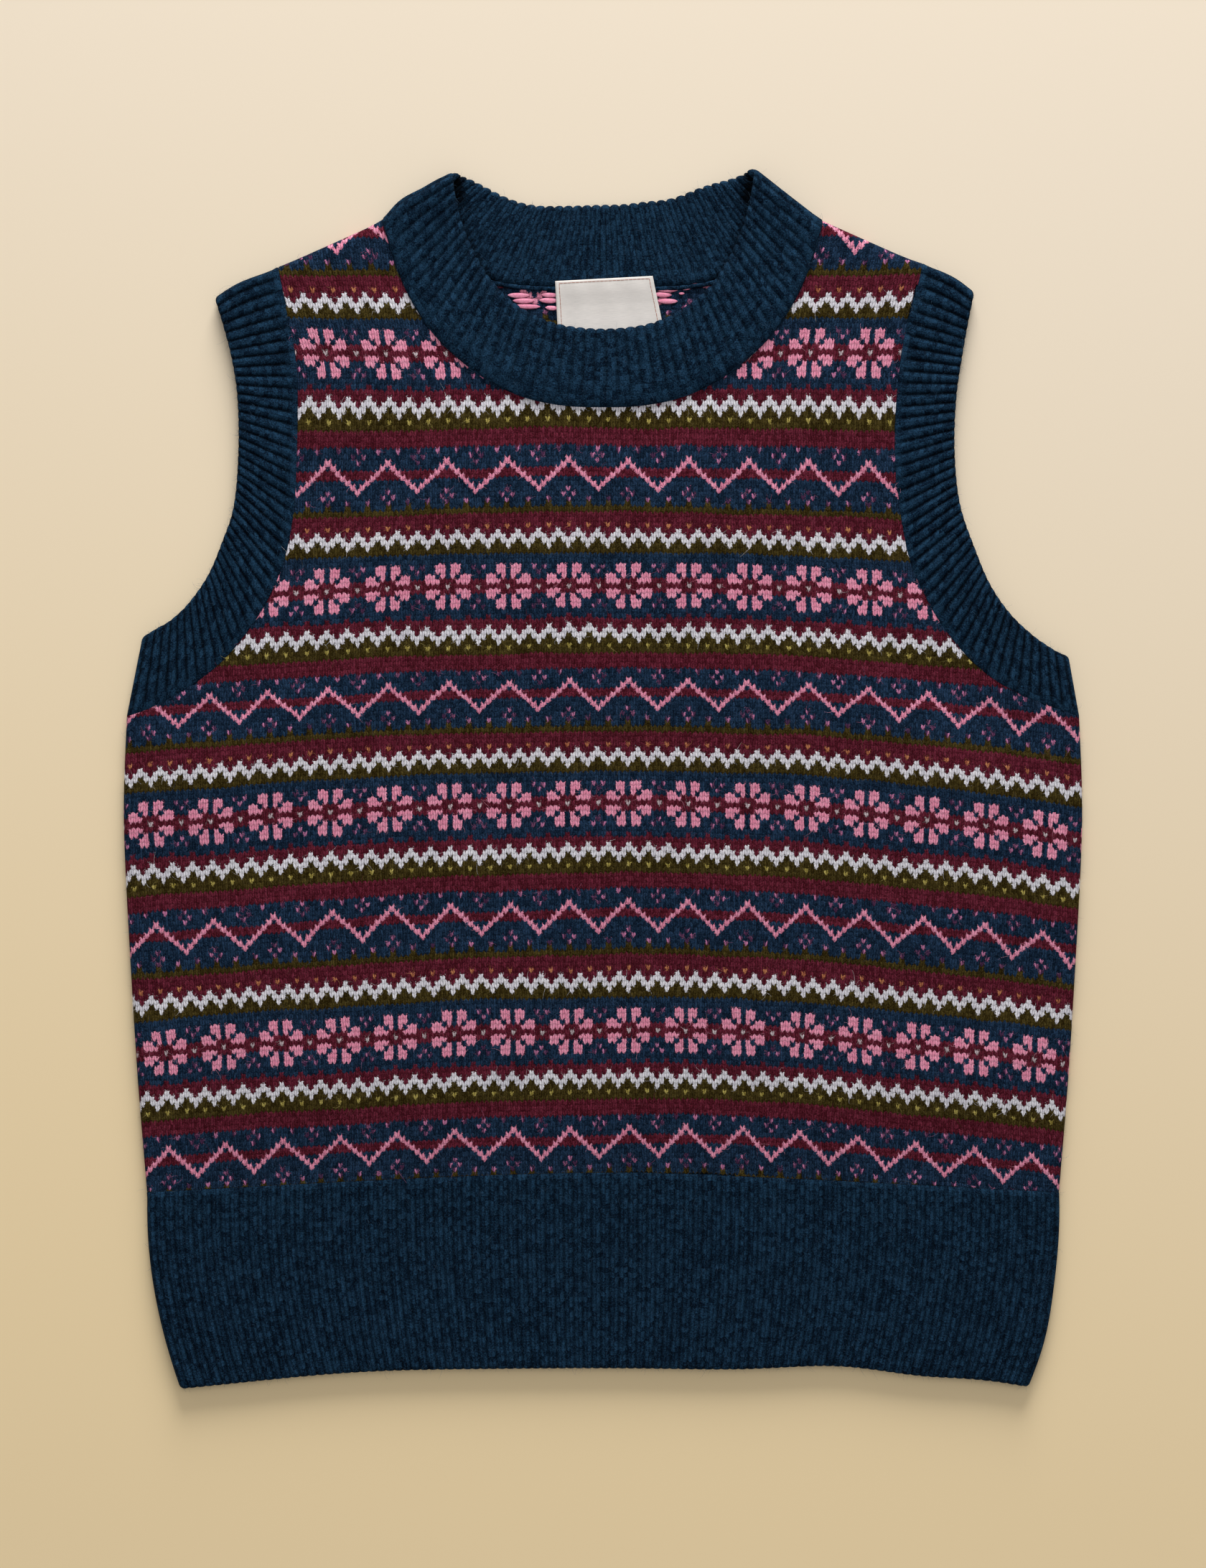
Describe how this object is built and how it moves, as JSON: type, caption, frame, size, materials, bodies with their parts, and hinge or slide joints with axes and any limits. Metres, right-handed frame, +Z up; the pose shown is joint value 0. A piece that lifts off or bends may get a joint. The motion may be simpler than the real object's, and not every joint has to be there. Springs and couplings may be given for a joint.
{
  "type": "fair isle sweater vest",
  "caption": "Sleeveless knitted pullover laid flat, with patterned front and back panels, a round ribbed neckband, ribbed armbands and a ribbed hem",
  "frame": {"origin": "on the surface the vest lies on, under the middle of its outline seen from above", "axes": "+Z up from the surface, +Y from the hem to the neck, +X across the chest towards the wearer's left side, with the front facing up"},
  "size_m": [0.4608, 0.586, 0.01],
  "materials": {
    "patterned_knit": "stranded wool knitting in wine, navy, dusty pink, olive and pale blue, soft with a light halo of fibres",
    "ribbed_knit": "heathered navy and teal wool in single rib",
    "woven_satin": "off-white woven satin with a stitched edge, left bare"
  },
  "bodies": {
    "root": {"back_panel": "patterned_knit", "front_panel": "patterned_knit", "hem_rib": "ribbed_knit", "left_armband": "ribbed_knit", "right_armband": "ribbed_knit", "neckband": "ribbed_knit", "label": "woven_satin"}
  },
  "joints": []
}
